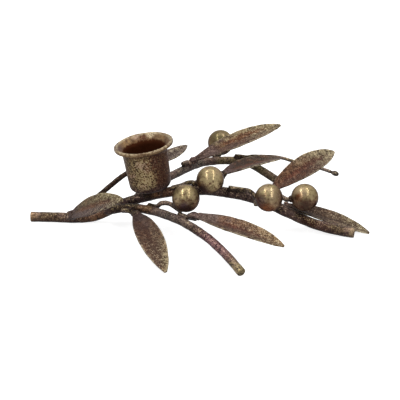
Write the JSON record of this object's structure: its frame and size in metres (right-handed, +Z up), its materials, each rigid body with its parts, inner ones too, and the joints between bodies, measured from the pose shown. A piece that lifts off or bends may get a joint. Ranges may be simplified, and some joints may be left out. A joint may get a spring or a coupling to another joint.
{
  "type": "candlestick",
  "caption": "Olive-branch candle holder: a cup for a dinner candle on an arched bar, with side branches for feet, pressed leaves and round berries.",
  "frame": {"origin": "on the table, under the middle of the candlestick's length and width", "axes": "+X along the stem from its butt to its tip, +Y to the far side, +Z up"},
  "size_m": [0.1996, 0.1492, 0.0542],
  "materials": {
    "antique_bronze_bar": "dark patina with rubbed gold speckle",
    "antique_bronze_wire": "dark patina, rough at the welds",
    "antique_bronze_leaf": "coppery patina, rubbed gold at the edges",
    "rubbed_gold_berry": "rubbed olive gold over brown patina",
    "speckled_gold_cup": "gold speckle over dark patina"
  },
  "bodies": {
    "root": {"main_stem": "antique_bronze_bar", "front_branch": "antique_bronze_bar", "rear_branch": "antique_bronze_bar", "cup_weld": "antique_bronze_wire", "bud_twig": "antique_bronze_wire", "butt_leaf_stalk": "antique_bronze_wire", "front_left_leaf_stalk": "antique_bronze_wire", "rear_left_leaf_stalk": "antique_bronze_wire", "rear_upper_leaf_stalk": "antique_bronze_wire", "middle_leaf_stalk": "antique_bronze_wire", "rear_right_leaf_stalk": "antique_bronze_wire", "tip_leaf_stalk": "antique_bronze_wire", "front_right_leaf_stalk": "antique_bronze_wire", "rear_berry_stalk": "antique_bronze_wire", "middle_berry_stalk": "antique_bronze_wire", "front_berry_stalk": "antique_bronze_wire", "right_berry_stalk": "antique_bronze_wire", "far_right_berry_stalk": "antique_bronze_wire", "butt_leaf": "antique_bronze_leaf", "front_left_leaf": "antique_bronze_leaf", "rear_left_leaf": "antique_bronze_leaf", "rear_upper_leaf": "antique_bronze_leaf", "middle_leaf": "antique_bronze_leaf", "rear_right_leaf": "antique_bronze_leaf", "tip_leaf": "antique_bronze_leaf", "front_right_leaf": "antique_bronze_leaf", "bud": "rubbed_gold_berry", "rear_berry": "rubbed_gold_berry", "middle_berry": "rubbed_gold_berry", "front_berry": "rubbed_gold_berry", "right_berry": "rubbed_gold_berry", "far_right_berry": "rubbed_gold_berry", "candle_cup": "speckled_gold_cup"}
  },
  "joints": []
}
